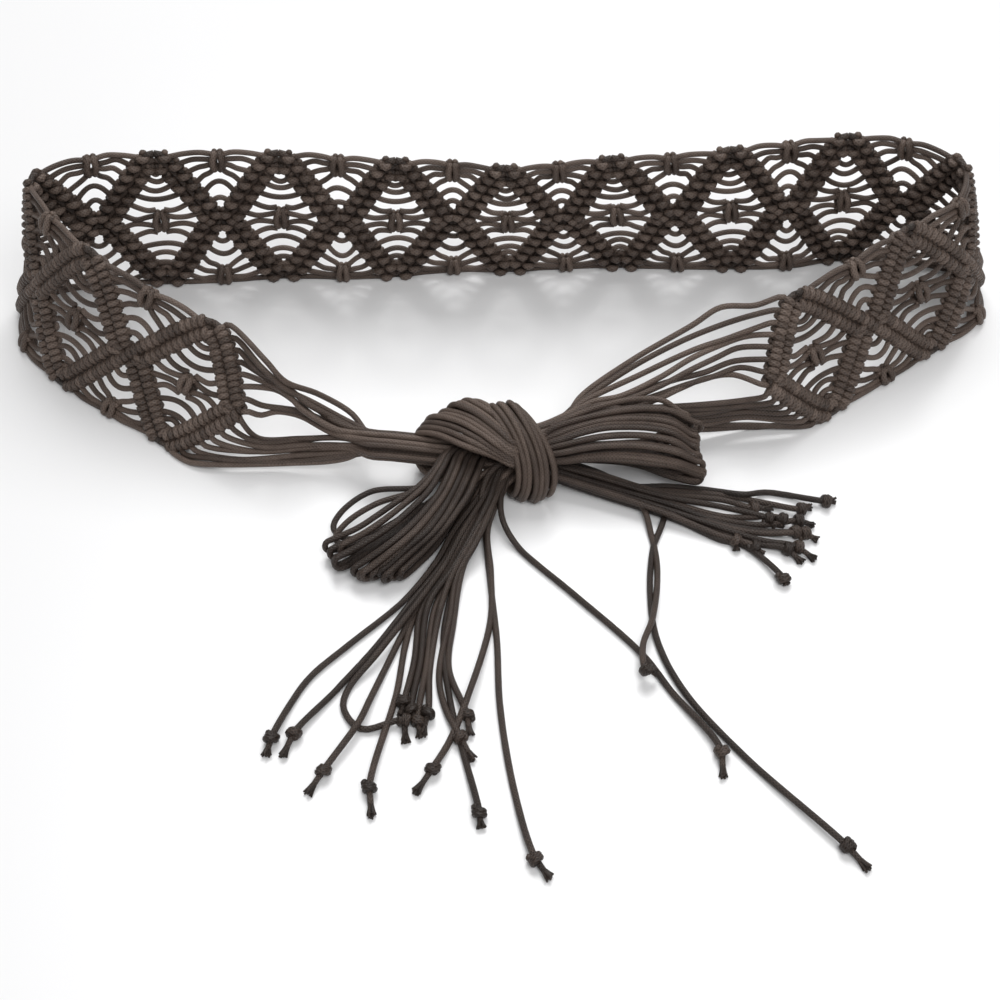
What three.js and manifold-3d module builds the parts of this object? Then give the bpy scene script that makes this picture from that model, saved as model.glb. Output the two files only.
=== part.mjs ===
// A macrame belt of waxed cotton cord, standing on its lower edge, with its two ends tied in a bow.
// Millimetres, +Z up. The bow is at the front, towards -Y; X runs along the belt's back.
// The net is laid out flat first (u along the belt, v up, w towards the waist) and then bent round.

import * as THREE from 'three';
import { mergeVertices } from 'three/addons/utils/BufferGeometryUtils.js';
import Module from 'manifold-3d';

const wasm = await Module();
wasm.setup();

// Driving dimensions
const CORD = 2.1; // thickness of one cord
const PITCH = 46.6; // length of one diamond along the belt
const DIAMONDS = 13;
const NET_HEIGHT = 56.6; // from edge to edge
const RIDGE = { halfWidth: 4.75, crest: 2.4 }; // two rows of hitches, each side of a seam
const SEAM = { start: 2.9, bend: [15.1, 17.9], corner: 25.4 }; // from beside a crossing to a diamond's corner
const SQUARE_KNOT = { halfWidth: 2.9, halfHeight: 3.5 }; // in the diamonds and on the edges
const HALF_THICKNESS = { crest: 2.8, seam: 1.9, knot: 2.4, fill: 1.1 }; // the fill is the cords between
const END_KNOT = 2.3; // half the size of the knot at the end of each tail
const FOOT = 0.7; // how far the corners of the lower edge are pressed flat by the belt's weight
const GAP = 0.35; // left between pieces that touch
const CENTRE = { x: 1.1, y: -76.6 }; // of the whole outline, which the origin lies under

// The net's path, a row for each half diamond from its left end round the back to its right end:
// x and y of the middle line, how much the net leans along x and y, and its height there.
const NET_PATH = [
  [-90, -51, 0.43, 0.47, 52],
  [-110, -35.7, 0.42, 0.38, 50],
  [-132, -22.5, 0.38, 0.25, 53],
  [-153, -7, 0.31, 0.17, 58],
  [-170, 12, 0.3, 0.12, 60],
  [-177, 37, 0.18, 0.05, 59],
  [-154, 49, 0.05, 0.05, 58.5],
  [-130, 51, 0.02, 0.08, 58.5],
  [-107, 52, 0.04, 0.07, 58.5],
  [-84, 53, 0.04, 0.02, 58.5],
  [-61, 51, 0.02, -0.03, 58.5],
  [-40, 51, 0.04, -0.08, 58.5],
  [-18, 52, 0.01, -0.16, 58.5],
  [3, 51, -0.04, -0.2, 58.5],
  [24, 53, -0.08, -0.2, 58.5],
  [45, 55, -0.12, -0.15, 59],
  [67, 55, -0.12, -0.12, 59],
  [89, 57, -0.1, -0.05, 59],
  [111, 59, -0.08, 0, 59],
  [133, 64, -0.05, 0.01, 59],
  [156, 62, -0.11, -0.03, 59],
  [178, 50, -0.22, -0.04, 59],
  [175, 26, -0.3, 0.02, 58],
  [154, 9, -0.3, 0.1, 57],
  [134, -6, -0.34, 0.17, 53],
  [112, -21.7, -0.35, 0.28, 50],
  [94, -39, -0.32, 0.38, 51],
];

// The bow's knot: a wrap of eight turns round the belt's ends, and the lobe that crosses it.
const WRAP = { x: 10, y: -65.5, z: 15, halfLength: 10, halfDepth: 11, halfHeight: 17.6, sides: 12, lean: 32 };
const LOBE = {
  halfWidth: 7,
  halfThickness: 5.5,
  path: [[-31, -59, 13], [-25, -59, 20], [-14, -59, 23], [-2, -61, 21], [8, -64, 17]],
};

// The bundle that each end of the belt gathers into, from the net to the knot
const LEFT_END = {
  halfWidth: 6,
  halfThickness: 4.6,
  path: [[-60, -58, 8.5], [-49, -58.5, 11.5], [-36, -60, 12.5], [-20, -62, 12]],
};
const RIGHT_END = {
  halfWidth: 4.5,
  halfThickness: 3.4,
  path: [[48, -41, 20], [36, -46, 18], [24, -52, 16], [12, -58, 15]],
};

// The loops of the bow, from the knot out over the top and back underneath. Each row is a place along
// the loop: its edge away from the front, then its edge at the front.
const RIGHT_LOOP = [
  [[12, -54, 17], [12, -67, 11]],
  [[33, -51, 23], [33, -70, 14]],
  [[46, -47, 25], [46, -72, 14.5]],
  [[58, -47, 24], [60, -73, 13]],
  [[65.5, -53, 17], [70, -74, 9]],
  [[58, -52, 9], [64, -71, 5.6]],
  [[44, -52, 7], [46, -62, 6]],
  [[28, -54, 8], [28, -61, 7]],
  [[12, -57, 11], [12, -64, 10]],
];
const LEFT_LOOP = [
  [[-12, -62, 13], [4, -66, 10]],
  [[-24, -76, 12.5], [-8, -82, 11]],
  [[-35, -86, 12.5], [-14, -96, 9.5]],
  [[-50, -95, 10], [-22, -110, 9]],
  [[-61, -102, 5.5], [-33, -121, 5.4]],
  [[-51, -97, 2.2], [-26, -111, 2.2]],
  [[-36, -88, 2.6], [-20, -96, 3]],
  [[-24, -77, 4], [-14, -82, 4.4]],
  [[-12, -67, 7], [-4, -71, 7]],
];
const LOOP_THICKNESS = 3.2;

// The tails that lie loose on the surface. Each point is x and y, and the height of the cord's middle
// where it rides over another cord. The bundle that they leave is its own path.
const LEFT_BUNDLE = {
  halfWidth: 6.5,
  halfThickness: 3.2,
  path: [[2, -68, 8], [-3, -82, 7], [-11, -99, 4.6], [-17, -112, 3.1]],
};
const LEFT_TAILS = [
  [[-21, -106, 3], [-32, -123], [-48, -141], [-59, -154], [-64, -164], [-68, -174]],
  [[-19, -107, 3], [-29, -124, 2], [-40, -143], [-51, -160], [-61, -174]],
  [[-18, -108, 4], [-28, -128, 4], [-39, -147, 3], [-47, -159], [-48, -167], [-42, -175], [-32, -173]],
  [[-18, -109, 3], [-27, -126, 2], [-36, -151], [-40, -164, 2], [-43, -174, 3], [-51, -187]],
  [[-17, -110, 2], [-27, -127], [-30, -141], [-32, -161], [-37, -190]],
  [[-17, -111, 3], [-25, -125, 2], [-27, -148], [-29, -165]],
  [[-16, -111, 4], [-23, -125, 3], [-25, -148], [-26, -167]],
  [[-16, -112, 2], [-21, -125], [-23, -149], [-25, -168]],
  [[-15, -111, 4], [-19, -126, 3], [-22, -151], [-21, -166]],
  [[-14, -112, 2], [-17, -127], [-18, -141], [-15, -166], [-11, -184], [-7, -203]],
  [[-14, -112, 3], [-16, -129, 2], [-19, -154], [-17, -166], [-13, -177]],
  [[-12, -108, 3], [-15, -132], [-16, -151], [-11, -167, 2]],
  [[-1, -80, 6], [-4, -91, 4], [-3, -111, 3], [-3, -130], [-10, -165, 4], [-15, -179], [-19, -187]],
  [[-4, -82, 6], [-5, -93, 3], [-3, -116], [-1, -139], [0, -166], [4, -197], [9, -218]],
  [[0, -76, 7], [1, -89, 5], [7, -99], [24, -119], [45, -145], [53, -160], [65, -182]],
];
const RIGHT_BUNDLE = {
  halfWidth: 6.5,
  halfThickness: 2.8,
  path: [[12, -66, 6], [30, -70, 4.2], [50, -76.5, 3.2], [68, -83, 2.6]],
};
const RIGHT_TAILS = [
  [[40, -73, 3], [48, -79, 3], [51, -92], [52, -108], [49, -131, 3], [45, -144, 3.9], [45, -151, 4.6]],
  [[49, -74], [56, -79], [51, -99], [49, -118], [50, -139], [57, -160], [73, -185], [98, -217]],
  [[44, -72, 3.4], [58, -70.5, 1.6], [73, -70], [84, -74, 3], [92, -71], [110, -74]],
  [[46, -74, 3.4], [60, -73, 1.6], [74, -72], [90, -76], [101, -79]],
  [[55, -75, 3], [77, -76, 2], [85, -79]],
  [[56, -77, 4], [75, -80, 3], [90, -82]],
  [[57, -78, 2], [77, -83], [94, -84]],
  [[58, -79, 1.5], [77, -85], [88, -87], [100, -86]],
  [[60, -81, 2], [76, -87], [90, -90], [98, -91]],
  [[60, -81, 3], [76, -89, 2], [89, -93, 3], [101, -92]],
  [[60, -83, 3], [76, -91, 3], [87, -95, 2], [97, -98]],
  [[60, -82, 2], [76, -92, 1.5], [86, -96], [94, -99]],
  [[58, -84, 3], [74, -93, 2], [84, -97]],
  [[58, -83, 2], [72, -92], [78, -95]],
  [[60, -84, 1.5], [74, -94], [82, -97], [92, -111]],
];

// Waxed cotton: dark taupe, a little lighter where the outer face catches the light
const cotton = (colour) => new THREE.MeshStandardMaterial({ color: colour, roughness: 0.62, metalness: 0 });

const vector = ([x, y, z = CORD / 2]) => new THREE.Vector3(x, y, z);
const curve = (points) => new THREE.CatmullRomCurve3(points.map(vector), false, 'centripetal');

// Turns a closed geometry into a solid that can be joined and cut.
function solid(geometry) {
  geometry.deleteAttribute('normal');
  geometry.deleteAttribute('uv');
  const merged = mergeVertices(geometry, 1e-4);
  return new wasm.Manifold(new wasm.Mesh({
    numProp: 3,
    vertProperties: merged.attributes.position.array,
    triVerts: new Uint32Array(merged.index.array),
  }));
}

const join = (solids) => solids.reduce((all, next) => all.add(next));

// Cuts a solid level with the surface that the belt stands on.
function standOnSurface(body) {
  const below = new THREE.BoxGeometry(600, 600, 40).translate(0, 0, -20);
  return body.subtract(solid(below));
}

function named(name, body, material) {
  const made = body.getMesh();
  const geometry = new THREE.BufferGeometry();
  geometry.setAttribute('position', new THREE.BufferAttribute(new Float32Array(made.vertProperties), 3));
  geometry.setIndex(new THREE.BufferAttribute(made.triVerts, 1));
  geometry.computeVertexNormals();
  const mesh = new THREE.Mesh(geometry, material);
  mesh.name = name;
  return mesh;
}

// Sweeps a section, given as [out, across] pairs, along a path.
function bar(path, section, steps) {
  const shape = new THREE.Shape(section.map(([out, across]) => new THREE.Vector2(out, across)));
  return new THREE.ExtrudeGeometry(shape, { steps, extrudePath: path, bevelEnabled: false });
}

function ellipse(halfOut, halfAcross, sides) {
  const turn = (2 * Math.PI) / sides;
  return Array.from({ length: sides }, (_, i) => [
    halfOut * Math.cos((i + 0.5) * turn),
    halfAcross * Math.sin((i + 0.5) * turn),
  ]);
}

function rectangle(width, thickness) {
  const w = width / 2;
  const t = thickness / 2;
  return [[-t, -w], [t, -w], [t, w], [-t, w]];
}

// The net's bent surface

const lastStation = NET_PATH.length - 1;
const middleLine = new THREE.CatmullRomCurve3(NET_PATH.map(([x, y, leanX, leanY, height]) => {
  const rise = Math.sqrt(1 - leanX ** 2 - leanY ** 2);
  return new THREE.Vector3(x, y, (rise * height) / 2 - FOOT);
}), false, 'catmullrom');
const leanLine = new THREE.CatmullRomCurve3(NET_PATH.map(
  ([, , leanX, leanY, height]) => new THREE.Vector3(leanX, leanY, height),
), false, 'catmullrom');

// The place in space of a point of the flat pattern: u along the belt, v up, w towards the waist.
function bandPoint(u, v, w) {
  const share = u / (DIAMONDS * PITCH);
  const inside = Math.min(Math.max(share, 0), 1);
  const step = 0.25 / lastStation;
  const before = middleLine.getPoint(Math.max(inside - step, 0));
  const along = middleLine.getPoint(Math.min(inside + step, 1)).sub(before).normalize();
  const { x, y, z: height } = leanLine.getPoint(inside);
  const up = new THREE.Vector3(x, y, Math.sqrt(1 - x * x - y * y));
  const inward = new THREE.Vector3().crossVectors(along, up).normalize();
  return middleLine.getPoint(inside)
    .addScaledVector(along, (share - inside) * DIAMONDS * PITCH)
    .addScaledVector(up, (v * height) / NET_HEIGHT)
    .addScaledVector(inward, w);
}

// The net

// A sheet of cord work, given as facets in the flat pattern. A facet is an outline of [u, v, half
// thickness] points and maybe one gap. An edge that only one facet has gets a wall.
function thickSheet(facets) {
  const points = [];
  const numbers = new Map();
  const numberOf = (point) => {
    const key = `${point[0].toFixed(2)} ${point[1].toFixed(2)}`;
    if (!numbers.has(key)) numbers.set(key, points.push(point) - 1);
    return numbers.get(key);
  };
  const triangles = [];
  for (const { outline, gap = [] } of facets) {
    const [around, inside] = [outline, gap].map((list) => list.map(([u, v]) => new THREE.Vector2(u, v)));
    const corners = [...outline, ...gap].map(numberOf);
    for (const face of THREE.ShapeUtils.triangulateShape(around, gap.length ? [inside] : [])) {
      const turn = THREE.ShapeUtils.area(face.map((corner) => [...around, ...inside][corner]));
      const triangle = face.map((corner) => corners[corner]);
      triangles.push(turn > 0 ? triangle : triangle.reverse());
    }
  }
  const count = points.length; // the faces towards the waist come first, then the outer ones
  const index = [];
  const edges = new Set(triangles.flatMap(([a, b, c]) => [`${a} ${b}`, `${b} ${c}`, `${c} ${a}`]));
  for (const [a, b, c] of triangles) index.push(a, b, c, c + count, b + count, a + count);
  for (const edge of edges) {
    const [a, b] = edge.split(' ').map(Number);
    if (!edges.has(`${b} ${a}`)) index.push(b, a, a + count, b, a + count, b + count);
  }
  const places = [1, -1].flatMap((side) => points.map(([u, v, half]) => bandPoint(u, v, side * half)));
  for (const place of places) place.z = Math.max(place.z, 0); // the lower edge is pressed flat
  return new THREE.BufferGeometry().setFromPoints(places).setIndex(index);
}

// A quarter of the pattern, from a crossing at (0, 0) to the corner of a diamond at u = HALF. The outer
// rows of hitches meet in the crossing, so the seams start beside it.
const HALF = PITCH / 2;
const firstLeg = Math.hypot(SEAM.bend[0] - SEAM.start, SEAM.bend[1]);
const away = { u: -SEAM.bend[1] / firstLeg, v: (SEAM.bend[0] - SEAM.start) / firstLeg };

function ridgeFacets() {
  const { crest, seam, fill } = HALF_THICKNESS;
  const c = RIDGE.crest;
  const w = RIDGE.halfWidth;
  const beside = (across, half) => [SEAM.start + across / away.u, 0, half];
  const over = [0, (w + SEAM.start * away.u) / away.v, fill];
  const bend = (across, half) => [SEAM.bend[0] - across * 0.755, SEAM.bend[1] + across * 0.655, half];
  const corner = (across, half) => [HALF, SEAM.corner + across, half];
  const centre = [0, 0, crest];
  const notch = [HALF, NET_HEIGHT / 2 - 1.2, 2.2];
  const bump = [HALF - 3.1, NET_HEIGHT / 2, 2.4];
  const shoulder = [HALF - 5.8, NET_HEIGHT / 2 - 1, fill];
  return {
    shoulder,
    overCrossing: over,
    besideCrossing: beside(-w, fill),
    innerBend: bend(-w, fill),
    outerBend: bend(w, fill),
    innerCorner: corner(-w, fill),
    facets: [
      [beside(-c, crest), beside(-w, fill), bend(-w, fill), bend(-c, crest)],
      [beside(0, seam), beside(-c, crest), bend(-c, crest), bend(0, seam)],
      [centre, beside(0, seam), bend(0, seam), bend(c, crest)],
      [centre, bend(c, crest), bend(w, fill), over],
      [bend(-c, crest), bend(-w, fill), corner(-w, fill), corner(-c, crest)],
      [bend(0, seam), bend(-c, crest), corner(-c, crest), corner(0, seam)],
      [bend(0, seam), corner(0, seam), notch, bump, bend(c, crest)],
      [bend(c, crest), bump, shoulder, bend(w, fill)],
    ].map((outline) => ({ outline })),
  };
}

const filled = (points) => points.map(([u, v]) => [u, v, HALF_THICKNESS.fill]);
const roundTop = (top, rim) => rim.slice(1).map((point, i) => ({ outline: [top, rim[i], point] }));

// Inside a diamond two bands of cords bow away from each corner, and the middle cords are tied in a
// square knot. One gap is between the bands, and one is beside the knot.
function diamondFacets({ besideCrossing, innerBend, innerCorner }) {
  const { halfWidth, halfHeight } = SQUARE_KNOT;
  const side = HALF - halfWidth;
  const [knotSide, knotCorner, knotTop] = filled([[side, 0], [side, halfHeight], [HALF, halfHeight]]);
  const [gapTop, gapTip, gapBottom] = filled([[HALF, 12.6], [HALF - 5.6, 13.1], [HALF, 10.1]]);
  const besideKnot = filled([
    [side - 0.7, 2.4], [HALF - 11.1, 3.7], [HALF - 10.1, 5.5], [side - 0.7, 4.4],
  ]);
  const outline = [besideCrossing, innerBend, innerCorner, gapTop, gapTip, gapBottom,
    knotTop, knotCorner, knotSide];
  const top = [HALF, 0, HALF_THICKNESS.knot];
  return [{ outline, gap: besideKnot }, ...roundTop(top, [knotSide, knotCorner, knotTop])];
}

// Between two corners the edge has a square knot halfway, with a gap under it, over the crossing.
function edgeFacets({ overCrossing, outerBend, shoulder }) {
  const { halfWidth, halfHeight } = SQUARE_KNOT;
  const edge = NET_HEIGHT / 2 - 0.8;
  const knotFoot = edge - 2 * halfHeight;
  const rim = filled([[0, knotFoot], [halfWidth, knotFoot], [halfWidth, 22.4], [halfWidth, edge], [0, edge]]);
  const gap = filled([[11.9, 22.4], [7, 16.5], [0, 16.9]]);
  const outline = [overCrossing, outerBend, shoulder, ...filled([[9, edge - 0.6]]), rim[3], rim[2], ...gap];
  return [{ outline }, ...roundTop([0, edge - halfHeight, HALF_THICKNESS.knot], rim)];
}

function net() {
  const ridges = ridgeFacets();
  const atEnd = [...ridges.facets, ...diamondFacets(ridges)];
  const whole = [...atEnd, ...edgeFacets(ridges)];
  const facets = [];
  for (let crossing = 0; crossing <= DIAMONDS; crossing += 1) {
    const sides = [-1, 1].filter((side) => crossing + side >= 0 && crossing + side <= DIAMONDS);
    for (const [side, rise] of sides.flatMap((s) => [[s, 1], [s, -1]])) {
      const move = ([u, v, half]) => [crossing * PITCH + side * u, rise * v, half];
      for (const { outline, gap = [] } of sides.length > 1 ? whole : atEnd) {
        facets.push({ outline: outline.map(move), gap: gap.map(move) });
      }
    }
  }
  return solid(thickSheet(facets));
}

// The belt's ends: the cords leave the last two ridges square, in pairs, and gather into one bundle

const FAN_HEIGHTS = [4, 10, 16]; // over and under the middle line, on each ridge's seam

function fan(end, { halfWidth, halfThickness, path }) {
  const leave = RIDGE.halfWidth + 1.3;
  const along = end === 0 ? 1 : -1;
  const bundle = curve(path);
  const solids = [solid(bar(bundle, ellipse(halfThickness, halfWidth, 8), 4))];
  for (const side of [1, -1]) {
    for (const height of FAN_HEIGHTS) {
      const seam = SEAM.start - (height * away.v) / away.u;
      const place = (out) => bandPoint(end + along * (seam + away.u * out), side * (height + away.v * out), 0);
      const meet = bundle.getPoint(0.1 + 0.015 * height);
      const points = [place(leave), place(leave + 4), meet.clone().setZ(meet.z + side * height * 0.1)];
      for (const point of points) point.z = Math.max(point.z, CORD * 0.6);
      const strand = new THREE.CatmullRomCurve3(points, false, 'centripetal');
      solids.push(solid(bar(strand, rectangle(3.8, 2 * HALF_THICKNESS.fill), 3)));
    }
  }
  return standOnSurface(join(solids));
}

// The bow

function wrap(grow) {
  const { x, y, z, halfLength, halfDepth, halfHeight, sides, lean } = WRAP;
  const profile = [[0, -1], [0.62, -1], [0.9, -0.72], [1, -0.3], [1, 0.3], [0.9, 0.72], [0.62, 1], [0, 1]];
  const turned = new THREE.LatheGeometry(profile.map(([r, t]) => new THREE.Vector2(r, t)), sides);
  turned.rotateZ(-Math.PI / 2).scale(halfLength + grow, halfDepth + grow, halfHeight + grow);
  turned.rotateX(-THREE.MathUtils.degToRad(lean)).translate(x, y, z);
  return solid(turned);
}

function lobe(grow) {
  const section = ellipse(LOBE.halfThickness + grow, LOBE.halfWidth + grow, 8);
  return solid(bar(curve(LOBE.path), section, 7));
}

const knot = (grow) => wrap(grow).add(lobe(grow));

// A loop of the bow is one ribbon of cords, with three soft ribs on each face.
function loop(rows, grow) {
  const far = curve(rows.map(([point]) => point));
  const near = curve(rows.map(([, point]) => point));
  const thick = LOOP_THICKNESS / 2 + grow;
  const valley = thick * 0.7;
  const half = 0.5;
  const face = [[-0.3, thick], [-0.15, valley], [0, thick], [0.15, valley], [0.3, thick]];
  const back = face.map(([across, out]) => [-across, -out]);
  const section = [[-half, 0], ...face, [half, 0], ...back];
  const ribbon = new THREE.ExtrudeGeometry(new THREE.Shape(section.map(([a, b]) => new THREE.Vector2(a, b))), {
    depth: 1, steps: 14, bevelEnabled: false,
  });
  const position = ribbon.attributes.position;
  for (let i = 0; i < position.count; i += 1) {
    const along = position.getZ(i);
    const [a, b] = [far.getPoint(along), near.getPoint(along)];
    const across = b.clone().sub(a);
    const forward = far.getTangent(along).add(near.getTangent(along)).normalize();
    const out = new THREE.Vector3().crossVectors(forward, across).normalize();
    const edgeGrow = across.clone().normalize().multiplyScalar(2 * grow * position.getX(i));
    const place = a.lerp(b, 0.5 + position.getX(i)).add(edgeGrow).addScaledVector(out, position.getY(i));
    position.setXYZ(i, place.x, place.y, place.z);
  }
  return solid(ribbon);
}

function tails({ halfWidth, halfThickness, path }, routes) {
  const solids = [solid(bar(curve(path), ellipse(halfThickness, halfWidth, 8), 4))];
  for (const route of routes) {
    const line = curve(route);
    const steps = Math.round(line.getLength() / 21);
    solids.push(solid(bar(line, rectangle(CORD * 0.92, CORD * 0.92), steps)));
    const { x, y, z } = line.getPoint(1);
    const knotHeight = Math.max(z, END_KNOT + 0.05);
    solids.push(solid(new THREE.OctahedronGeometry(END_KNOT).translate(x, y, knotHeight)));
  }
  return join(solids);
}

const knotSolid = standOnSurface(knot(0));
const roundKnot = knot(GAP);
const rightLoop = loop(RIGHT_LOOP, 0).subtract(roundKnot);
const leftLoop = loop(LEFT_LOOP, 0).subtract(roundKnot);
const roundLoops = loop(RIGHT_LOOP, GAP).add(loop(LEFT_LOOP, GAP));
const rightTails = tails(RIGHT_BUNDLE, RIGHT_TAILS).subtract(roundKnot).subtract(roundLoops);
const leftTails = tails(LEFT_BUNDLE, LEFT_TAILS).subtract(roundKnot).subtract(roundLoops);
const leftFan = fan(0, LEFT_END).subtract(roundKnot).subtract(roundLoops);
const rightFan = fan(DIAMONDS * PITCH, RIGHT_END).subtract(roundKnot).subtract(roundLoops);

const belt = new THREE.Group();
belt.add(
  named('net_band', net(), cotton(0x584d46)),
  named('left_end_cords', leftFan, cotton(0x544942)),
  named('right_end_cords', rightFan, cotton(0x544942)),
  named('bow_knot', knotSolid, cotton(0x4f453f)),
  named('left_loop', standOnSurface(leftLoop), cotton(0x50463f)),
  named('right_loop', standOnSurface(rightLoop), cotton(0x50463f)),
  named('left_tails', standOnSurface(leftTails), cotton(0x4b413b)),
  named('right_tails', standOnSurface(rightTails), cotton(0x4b413b)),
);
belt.position.set(-CENTRE.x, -CENTRE.y, 0);

export default belt;
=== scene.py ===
"""A macrame belt of waxed cotton cord, standing on a pale surface with its ends tied in a bow.

Lengths are in millimetres and become metres when a mesh is made. The net is laid out flat first
(u along the belt, v up, w towards the waist) and then bent round, the same way as the solid part.
"""

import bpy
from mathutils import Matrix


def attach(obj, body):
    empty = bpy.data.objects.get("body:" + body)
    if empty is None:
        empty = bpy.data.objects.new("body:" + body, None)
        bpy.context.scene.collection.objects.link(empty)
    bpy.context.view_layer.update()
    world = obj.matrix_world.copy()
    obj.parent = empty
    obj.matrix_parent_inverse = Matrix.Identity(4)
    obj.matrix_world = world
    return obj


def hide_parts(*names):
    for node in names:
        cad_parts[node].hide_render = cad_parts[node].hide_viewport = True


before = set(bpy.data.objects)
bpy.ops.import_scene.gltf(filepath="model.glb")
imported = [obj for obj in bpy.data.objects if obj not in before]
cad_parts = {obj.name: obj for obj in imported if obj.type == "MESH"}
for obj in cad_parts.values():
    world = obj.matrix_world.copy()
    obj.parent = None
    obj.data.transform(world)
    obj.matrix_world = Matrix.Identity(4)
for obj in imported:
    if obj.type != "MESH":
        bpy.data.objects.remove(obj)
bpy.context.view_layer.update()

import math

import bpy
import numpy as np

RANDOM_SEED = 7

# Driving dimensions, the same as the solid part's
CORD = 2.1  # thickness of one cord
PITCH = 46.6  # length of one diamond along the belt
DIAMONDS = 13
NET_LENGTH = DIAMONDS * PITCH
NET_HEIGHT = 56.6
FOOT = 0.7  # how far the lower corners are pressed flat
CENTRE = np.array([1.1, -76.6, 0.0])  # the place in the layout that is the part's origin
LOWEST = 0.05  # no cord comes nearer to the surface than this
SIDES = 8  # round each cord's tube
FINE_SIDES = 10  # round the cords in front

# The camera, recovered from the photo: where it is, how far it looks down, and its focal length in
# picture widths
CAMERA_PLACE = (0.0, -520.0, 431.0)
CAMERA_DOWN = 44
CAMERA_FOCUS = 1.8

# The ridges between the diamonds. The middle of each rises in a straight slope that rounds off into
# the corner.
RIDGE_SLOPE = 1.55
RIDGE_PEAK = 32.5  # where the slopes on both sides of a corner would meet
CORNER_ROUNDING = 50  # the square of how far the rounded corner stays below that
# The rows of hitches, two on each ridge
ROW_OFFSET = 2.4  # of each row's middle from the seam between the two
COIL_PITCH = 2.46  # from one turn of cord to the next
COILS = {"outer": 14, "inner": 12}  # turns of each row on a quarter of the pattern
COIL_RADIUS = 1.3
COIL_SHAPE = [(-1.35, -0.1), (-1.3, -0.8), (-0.8, -1.5), (0, -1.85),
              (0.8, -1.5), (1.3, -0.8), (1.35, -0.1)]  # across the row, and w
SLANT = 0.12  # of each turn along its row, for each millimetre across
CROSSING_TURN = 4.3  # from a crossing to the turns beside it
BACK_RADII = [0.7, 1.2, 1.45, 1.2, 0.7]
BACK_SHAPE = [(-2.4, 0.5), (-1.3, 1.6), (0, 2.2), (1.3, 1.6), (2.4, 0.5)]  # along u, and w

# The net's path, a row for each half diamond: x and y of the middle line, how much the net leans
# along x and y, and its height there.
NET_PATH = np.array([
    [-90, -51, 0.43, 0.47, 52],
    [-110, -35.7, 0.42, 0.38, 50],
    [-132, -22.5, 0.38, 0.25, 53],
    [-153, -7, 0.31, 0.17, 58],
    [-170, 12, 0.3, 0.12, 60],
    [-177, 37, 0.18, 0.05, 59],
    [-154, 49, 0.05, 0.05, 58.5],
    [-130, 51, 0.02, 0.08, 58.5],
    [-107, 52, 0.04, 0.07, 58.5],
    [-84, 53, 0.04, 0.02, 58.5],
    [-61, 51, 0.02, -0.03, 58.5],
    [-40, 51, 0.04, -0.08, 58.5],
    [-18, 52, 0.01, -0.16, 58.5],
    [3, 51, -0.04, -0.2, 58.5],
    [24, 53, -0.08, -0.2, 58.5],
    [45, 55, -0.12, -0.15, 59],
    [67, 55, -0.12, -0.12, 59],
    [89, 57, -0.1, -0.05, 59],
    [111, 59, -0.08, 0, 59],
    [133, 64, -0.05, 0.01, 59],
    [156, 62, -0.11, -0.03, 59],
    [178, 50, -0.22, -0.04, 59],
    [175, 26, -0.3, 0.02, 58],
    [154, 9, -0.3, 0.1, 57],
    [134, -6, -0.34, 0.17, 53],
    [112, -21.7, -0.35, 0.28, 50],
    [94, -39, -0.32, 0.38, 51],
])

# Cords across the pattern, in the flat. Each runs from one ridge to the next: how far from the
# middle it ends, and its height at the end and halfway.
DIAMOND_CORDS = [
    {"end": 1.5, "end_v": 20.8, "middle_v": 19.8},
    {"end": 4.0, "end_v": 18.5, "middle_v": 16.5},
    {"end": 6.1, "end_v": 15.5, "middle_v": 12.9},
    {"end": 8.5, "end_v": 11.3, "middle_v": 8.9},
]
EDGE_CORDS = [
    {"end": 3.3, "end_v": 7.5, "middle_v": 9.6},
    {"end": 5.5, "end_v": 12.0, "middle_v": 15.3},
]
# Cords that run from a ridge into a square knot: where they start and where they enter the knot
DIAMOND_KNOT_CORDS = [
    [(11.3, 7.3), (7.5, 4.9), (4.2, 4.4), (1.6, 4.8)],
    [(14.1, 2.7), (9.5, 1.2), (5.5, 1.4), (2.4, 2.2)],
]
EDGE_KNOT_CORDS = [
    [(7.9, 16.2), (5.4, 18.4), (3.0, 19.8), (1.3, 21.4)],
    [(11.0, 20.2), (7.6, 22.2), (4.6, 22.6), (2.0, 23.2)],
    [(14.3, 23.6), (9.5, 25.2), (5.4, 25.3), (2.0, 25.0)],
    [(17.5, 26.6), (12.0, 27.7), (6.0, 28.0), (1.8, 27.2)],
]
EDGE_KNOT_V = 24.6  # the middle of a square knot in a notch between two diamonds
# A square knot's bars, from bottom to top: along u, along v in parts of the knot's half height, and w
KNOT_HALF_HEIGHT = 3.7
KNOT_BAR = [(0.9, -1.0, 0.4), (1.1, -0.8, 1.5), (1.75, 0, 2.0), (1.1, 0.8, 1.5), (0.9, 1.0, 0.4)]
KNOT_BAR_RADII = [0.9, 1.1, 1.22, 1.3, 1.32, 1.3, 1.22, 1.1, 0.9]
# The turns across its two ends: along u, and w
KNOT_TURN = [(-2.2, 0.0), (-2.0, 0.6), (-1.1, 1.0), (0, 1.1), (1.1, 1.0), (2.0, 0.6), (2.2, 0.0)]

# The bow's knot: turns round the belt's ends, which lean back by an angle in degrees. WRAP_ACROSS is
# where the first turn lies along x on its top, front, underside and back, and WRAP_SPREAD how far
# the last turn is from there.
WRAP = {"y": -65.5, "z": 15, "half_depth": 11, "half_height": 17.6, "lean": 32, "turns": 8}
WRAP_ACROSS = {"top": -4.5, "front": 4.8, "under": 3, "back": -1}
WRAP_SPREAD = 13.2

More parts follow.
